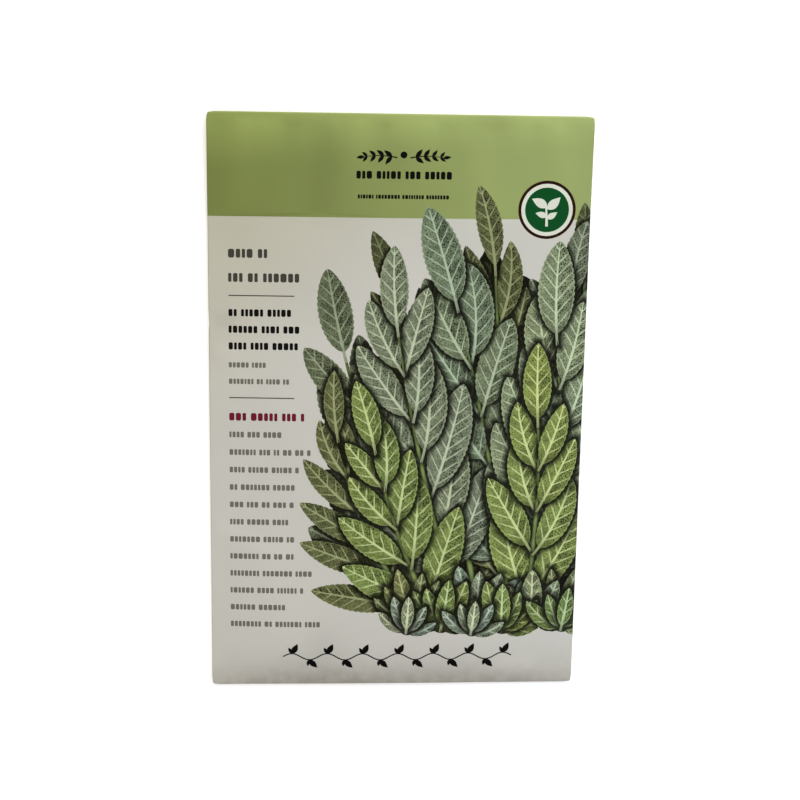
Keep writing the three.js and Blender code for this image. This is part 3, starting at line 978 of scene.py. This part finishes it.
painted_leaf = painted_leaf_group()


def leaf_ink(dark, mid, light, vein):
    """The nodes of one kind of leaf, as a function for printed_material."""
    def build(tree):
        paints = {"Dark": dark, "Mid": mid, "Light": light, "Vein": vein}
        inputs = {name: colour(*paint) for name, paint in paints.items()}
        return Signal(node(tree, "ShaderNodeGroup", inputs, node_tree=painted_leaf).outputs[0])

    return build


def paper_ink(tree):
    """The bare paper, with painted shade: darker and warmer towards the top left corner."""
    x, y, _ = read(tree, "flat", "Vector").parts()
    return mix((y - x * 0.8).ramp(25, 80), FRESH_PAPER, SHADED_WARM_PAPER)


def band_paint_with_light(tree):
    """The band's green with painted light on it: lighter to the right, and lighter towards the top
    edge, a little darker below.
    """
    x, y, _ = read(tree, "flat", "Vector").parts()
    green = mix(x.ramp(-SIDE_FOLD * 1.3, SIDE_FOLD * 1.3), BAND_SHADED_LEFT, BAND_LIT_RIGHT)
    return mix(1.0, green, (y - x * 0.08).ramp(62, 77, 0.91, 1.34).as_grey(), "MULTIPLY")


def stalk_ink(tree):
    """A round stalk: light along its middle, darker at its sides and behind other leaves."""
    across, depth = (read(tree, name, "Vector").parts()[1] for name in ("leaf", "tone"))
    green = mix(abs(across).ramp(0.25, 1.0), STALK_MIDDLE, STALK_EDGE)
    dark = (depth * 0.6).step("MAXIMUM", read(tree, "shade"))
    return mix(dark * 0.85, green, DEEP_SHADE)


# %% All inks
LEAF_PAINTS = {  # dark ground, mid ground, pale net, veins
    "grey_green": ((18, 23, 10), (60, 69, 43), (160, 172, 138), (196, 208, 176)),
    "olive": ((15, 17, 5), (53, 58, 29), (138, 145, 101), (174, 182, 138)),
    "blue_green": ((17, 24, 15), (60, 71, 52), (158, 171, 148), (194, 206, 184)),
    "bright": ((20, 29, 4), (66, 84, 31), (144, 162, 98), (190, 203, 150)),
    "deep": ((10, 10, 3), (36, 38, 17), (78, 84, 50), (98, 104, 68)),
}
INKS = {  # colour or nodes, and where it is not the usual, roughness and wear
    "paper": (paper_ink, 0.45),
    "band_green": (band_paint_with_light,),
    "ink_dark": ((10, 9, 8),),
    "ink_grey": ((58, 57, 51), 0.44),
    "ink_pale": ((98, 97, 88), 0.44),
    "ink_maroon": ((96, 20, 42),),
    "badge_brown": ((36, 14, 6),),
    "badge_green": ((8, 66, 28),),
    "badge_face": ((194, 196, 184), 0.45),
    "gap": ((12, 10, 4),),
    "stalk": (stalk_ink,),
    **{"leaf_" + kind: (leaf_ink(*paints),) for kind, paints in LEAF_PAINTS.items()},
    "inner_paper": ((214, 212, 203), 0.62, 0.0),
    "paper_edge": ((222, 220, 212), 0.7, 0.0),
}
materials = [printed_material(name, *settings) for name, settings in INKS.items()]
INK_SLOTS = list(INKS)
print(len(INK_SLOTS), "inks and papers")

# %% [markdown]
# ## Cut, fold and thicken
#
# The triangulation says which outlines cover each triangle. The topmost one gives its ink, and
# halos above that one give a shadow that fades away from the leaf's edge. A second cut drops the
# lines that cannot be seen, and bare ground that leaves close in is printed dark. Then the
# folding function moves every corner to its place, and a Solidify modifier gives the paper its
# thickness. Long thin triangles would shade badly by themselves, so each corner is given the
# folding function's own direction as its normal.

# %% Cutting a sheet along its print
CUT_PRECISION, RECUT_PRECISION = 1e-5, 1e-6


def cut_along_all(canvas):
    """Triangles of the sheet, cut along every outline, with the look of each.

    A look is the number of the topmost shape and those of the shadows over it, or None outside
    the sheet. The lines and points that the finished sheet needs are given too.
    """
    points, edges, triangles, point_sources, edge_sources, covers = geometry.delaunay_2d_cdt(
        [Vector(point) for point in canvas.points], canvas.lines, canvas.faces, 1, CUT_PRECISION)
    inked = [shape["ink"] is not None for shape in canvas.shapes]
    looks = []
    for cover in covers:
        top = max(k for k in cover if inked[k]) if 0 in cover else None
        looks.append(None if top is None else (top, *sorted(k for k in cover if k > top)))
    beside = {}
    for triangle, look in zip(triangles, looks):
        for k in range(3):
            beside.setdefault(frozenset((triangle[k - 1], triangle[k])), []).append(look)
    lines = []
    for edge, sources in zip(edges, edge_sources):
        sides = beside.get(frozenset(edge), [None])
        alike = len(sides) == 2 and sides[0] == sides[1]
        bend = any(source < len(canvas.lines) for source in sources)
        if set(sides) != {None} and (bend or not alike):
            lines.append(edge)
    needed = {k for line in lines for k in line}
    for k, sources in enumerate(point_sources):
        if any(source in canvas.grid for source in sources):
            needed.add(k)
    return points, triangles, looks, lines, sorted(needed)


def closed_in(flat, triangles, ground):
    """The ground triangles that leaves part from the open ground on the left of the sheet."""
    at_corner = {}
    for number in ground:
        for corner in triangles[number]:
            at_corner.setdefault(corner, []).append(number)
    reached, ahead = set(), [min(ground, key=lambda number: flat[triangles[number][0], 0])]
    while ahead:
        number = ahead.pop()
        reached.add(number)
        for corner in triangles[number]:
            ahead.extend(at_corner.pop(corner, ()))
    return set(ground) - reached


def cut_sheet(canvas):
    """The printed sheet's flat corners and triangles, with the shapes and ink of each triangle.

    The first cut also follows outlines that others hide. The second one keeps only the lines
    with a different look on either side, so the sheet has half the triangles.
    """
    points, triangles, looks, lines, needed = cut_along_all(canvas)
    finder = BVHTree.FromPolygons([point.to_3d() for point in points], triangles)
    order = {old: new for new, old in enumerate(needed)}
    flat, _, triangles, *_ = geometry.delaunay_2d_cdt(
        [points[k] for k in needed], [(order[a], order[b]) for a, b in lines], [], 1, RECUT_PRECISION)
    kept, tops, inks, shaded = [], [], [], {}
    for triangle in triangles:
        middle = sum((flat[k] for k in triangle), Vector((0, 0))) / 3
        look = looks[finder.find_nearest(middle.to_3d())[2]]
        if look:
            for k in look[1:]:
                shaded.setdefault(k, []).append(len(kept))
            kept.append(triangle)
            tops.append(look[0])
            inks.append(canvas.shapes[look[0]]["ink"])
    used, kept = np.unique(np.array(kept), return_inverse=True)
    flat = np.array([tuple(point) for point in flat])[used]
    kept, tops = kept.reshape(-1, 3), np.array(tops)
    for number in closed_in(flat, kept, np.flatnonzero(np.isin(tops, list(canvas.grounds)))):
        inks[number] = "gap"
    return flat, kept, tops, shaded, inks


def on_strip(shape, points):
    """The share along a strip and the distance aside of points, and its half width there."""
    share, aside = shape["arc"].find(points)
    return share, aside, shape["half_width"](np.clip(share, 0, 1))


def strip_coordinates(canvas, corners, tops):
    """Where each corner lies on its leaf or stalk, and the tone of that leaf."""
    leaf_at, tone = np.zeros((2, *corners.shape[:2], 3))
    for k in np.unique(tops):
        shape = canvas.shapes[k]
        if "tone" in shape:
            mine = tops == k
            share, aside, half = on_strip(shape, corners[mine])
            leaf_at[mine] = np.stack([share, np.clip(aside / half, -1, 1), half], axis=-1)
            tone[mine] = (*shape["tone"], shape["arc"].length)
    return leaf_at, tone


def leaf_shadows(canvas, corners, shaded):
    """How deep each corner lies in the shadow of the leaves above it, from 0 to 1."""
    shade = np.zeros(corners.shape[:2])
    for k, mine in shaded.items():
        shape = canvas.shapes[k]
        share, aside, half = on_strip(shape, corners[mine])
        beyond = (abs(share - 0.5) - 0.5) * shape["arc"].length
        near = 1 - np.clip(np.maximum(abs(aside) - half, beyond) / HALO, 0, 1)
        shade[mine] = np.maximum(shade[mine], near)
    return shade


# %% Wear, grime and painted shade of the paper
RUBBED, RUB_REACH, CROWN = 0.37, 0.45, 0.3       # how hard, mm, and share of the way round a fold
DARKENING_FRONT, DARKENING_FLAP = 4.2, 2.0               # mm that the bottom fold's grime and painted shade reach
DARK_PATCHES = (  # darker patches: x, y, reach in x and in y, how dark
    (-20, -73, 14, 4, 0.2),
    (22.5, 73.5, 5, 3, 0.35),
)


def rubbed_folds(flat):
    """How hard each point of the sheet is rubbed: most on the crowns of the folds and corners."""
    x, y = abs(flat.T)
    side, end = x - SIDE_FOLD - SIDE_ARC * CROWN, y - END_FOLD - END_ARC * CROWN
    return RUBBED * (hill(side, RUB_REACH) + hill(end, RUB_REACH))


def dirt_and_bottom_shade(flat):
    """How much darker the paper is: most on the bottom fold, partly grime and partly painted shade
    where the paper turns away from the light, and in two patches.
    """
    x, y = flat.T
    middle = 1 - 0.25 * np.clip(abs(x) / SIDE_FOLD, 0, 1) ** 2
    to_front, to_flap = np.maximum(y + END_FOLD, 0), np.maximum(-END_FOLD - END_ARC - y, 0)
    darkening = middle * np.exp(-to_front / DARKENING_FRONT - to_flap / DARKENING_FLAP)
    for patch_x, patch_y, wide, high, amount in DARK_PATCHES:
        darkening += amount * hill(x - patch_x, wide) * hill(y - patch_y, high)
    return darkening


print(len(DARK_PATCHES), "smears, and folds that are rubbed")


# %% Folding a cut sheet into a piece


def store(mesh, name, domain, values):
    """Keeps numbers or vectors on the points or the corners of a mesh."""
    count = len(mesh.vertices if domain == "POINT" else mesh.loops)
    kind, field = ("FLOAT", "value") if values.size == count else ("FLOAT_VECTOR", "vector")
    mesh.attributes.new(name, kind, domain).data.foreach_set(field, np.ravel(values))


def fold_sheet(canvas):
    """Replaces the flat blank's mesh by the printed, folded and thickened sheet."""
    piece = canvas.sheet
    flat, triangles, tops, shaded, inks = cut_sheet(canvas)
    corners = flat[triangles]
    mesh = bpy.data.meshes.new(piece.name)
    mesh.from_pydata(folded(flat[:, 0], flat[:, 1]) * MM, [], triangles.tolist())
    leaf_at, tone = strip_coordinates(canvas, corners, tops)
    store(mesh, "flat", "POINT", np.column_stack([flat, np.zeros(len(flat))]))
    store(mesh, "rubbed", "POINT", rubbed_folds(flat))
    # grime and painted shade, most on the bottom fold
    store(mesh, "dirt_and_shade", "POINT", dirt_and_bottom_shade(flat))
    # the dents' height, for the painted shade and light of the coated sheet
    store(mesh, "dented", "POINT", handling(flat[:, 0], flat[:, 1]))
    store(mesh, "leaf", "CORNER", leaf_at)
    store(mesh, "tone", "CORNER", tone)
    store(mesh, "shade", "CORNER", leaf_shadows(canvas, corners, shaded))
    for material in materials:
        mesh.materials.append(material)
    mesh.polygons.foreach_set("material_index", [INK_SLOTS.index(ink) for ink in inks])
    piece.data = mesh
    thicken(piece, len(triangles))
    print(piece.name, len(triangles), "printed triangles,", len(piece.data.polygons), "faces")


def thicken(piece, printed):
    """Gives the paper its thickness, a plain inside and clean normals."""
    select_only(piece)
    paper = piece.modifiers.new("paper thickness", "SOLIDIFY")
    paper.thickness, paper.offset = PAPER * MM, 0
    bpy.ops.object.modifier_apply(modifier=paper.name)
    mesh = piece.data
    for face in mesh.polygons[printed:]:
        inside = face.index < 2 * printed
        face.material_index = INK_SLOTS.index("inner_paper" if inside else "paper_edge")
    flat = np.empty(len(mesh.vertices) * 3)
    mesh.attributes["flat"].data.foreach_get("vector", flat)
    corner_points = np.empty(len(mesh.loops), int)
    mesh.loops.foreach_get("vertex_index", corner_points)
    normals = printed_side(flat[::3], flat[1::3])[corner_points]
    sizes = np.array([len(face.vertices) for face in mesh.polygons])
    owner = np.repeat(np.arange(len(sizes)), sizes)
    face_normals = np.array([tuple(face.normal) for face in mesh.polygons])
    normals[(owner >= printed) & (owner < 2 * printed)] *= -1
    rim = owner >= 2 * printed
    normals[rim] = face_normals[owner[rim]]
    mesh.normals_split_custom_set(normals)


fold_sheet(front_sheet)
fold_sheet(back_sheet)
for piece in (front, back):
    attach(piece, "root")
    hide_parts("envelope")

# %% [markdown]
# ## Seeds and glue
#
# The seeds lie loose inside, and three thin layers of glue hold the seam and the flaps. They
# come from the frame and only get finishes: a dull brown seed coat with darker flecks, and a
# clear yellowish film.

# %% Seed coat and dried glue
SPECKLE_BUMP = 0.3


def speckled_material(name, dark, light, scale, roughness):
    def build(tree):
        place = Signal(node(tree, "ShaderNodeTexCoord").outputs["Object"])
        flecks, pores = place.noise(scale / MM, 4), place.noise(4 * scale / MM, 2)
        return {"Base Color": mix(flecks.ramp(0.35, 0.65), colour(*dark), colour(*light)),
                "Roughness": flecks.ramp(0.3, 0.7, roughness + 0.1, roughness - 0.1),
                "Normal": pores.as_bumps(SPECKLE_BUMP)}

    return new_material(name, build)


seed_coat = speckled_material("seed_coat", (46, 32, 22), (92, 68, 48), 1.6, 0.6)
glue = speckled_material("dried_glue", (206, 196, 160), (222, 214, 186), 0.4, 0.35)
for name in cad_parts:
    if name != "envelope":
        finishes = bpy.data.objects[name].data.materials
        finishes.clear()
        finishes.append(seed_coat if name.startswith("seed") else glue)
print("finished", len(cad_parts) - 1, "pieces of the frame")

# %% [markdown]
# ## Table and light
#
# The photograph has a plain white ground and soft light from above the top edge. A window does
# that: a sun lamp with a very wide angle. A cool softbox low on the right, a small lamp at the
# top right corner and a warm fill from the left even out the rest. The table glows a little, as
# an overexposed white ground does, so only a faint contact shadow is left on it.

# %% Floor, lamps and world
FLOOR_SIZE, FLOOR_DROP = 3000, 0.02
FLOOR_LOOK = {"Base Color": colour(252, 252, 252), "Roughness": 0.9,
              "Emission Color": WHITE, "Emission Strength": 0.2}
bpy.ops.object.select_all(action="DESELECT")
bpy.ops.mesh.primitive_plane_add(size=FLOOR_SIZE * MM, location=(0, 0, -FLOOR_DROP * MM))
floor = bpy.context.object
floor.name = "table"
floor.data.materials.append(new_material("pale_table", lambda tree: FLOOR_LOOK))

AMBIENT, BACKDROP = 0.30, 0.97   # brightness of the room, and of the backdrop in view
SUN_STRENGTH, SUN_TINT = 2.1, (255, 254, 252)
SUN_FROM, SUN_SPREAD = Vector((90, 520, 370)), math.radians(50)
LAMPS = (  # name, place in mm, size in mm, watts, tint
    ("softbox", (190, -80, 250), 200, 0.35, (218, 231, 255)),
    ("corner light", (110, 150, 200), 100, 0.17, (247, 255, 242)),
    ("warm fill", (-165, -50, 300), 200, 0.34, (255, 242, 218)),
)


def hang(kind, name, place, tint, **settings):
    """A lamp that looks at the packet."""
    aim = (-Vector(place)).to_track_quat("-Z", "Y").to_euler()
    bpy.ops.object.light_add(type=kind, location=Vector(place) * MM, rotation=aim)
    lamp = bpy.context.object
    lamp.name, lamp.data.color = name, colour(*tint)[:3]
    lamp.visible_camera = False
    for setting, value in settings.items():
        setattr(lamp.data, setting, value)


hang("SUN", "window", SUN_FROM, SUN_TINT, energy=SUN_STRENGTH, angle=SUN_SPREAD)
for name, place, size, watts, tint in LAMPS:
    hang("AREA", name, place, tint, size=size * MM, energy=watts)

world = bpy.data.worlds.new("pale studio")
world.use_nodes = True
in_view = Signal(node(world.node_tree, "ShaderNodeLightPath").outputs["Is Camera Ray"])
glow = in_view * (BACKDROP - AMBIENT) + AMBIENT
feed(world.node_tree.nodes["Background"], {"Color": colour(*SUN_TINT), "Strength": glow})
bpy.context.scene.world = world
bpy.context.scene.view_settings.view_transform = "Standard"
print("a window and", len(LAMPS), "lamps")
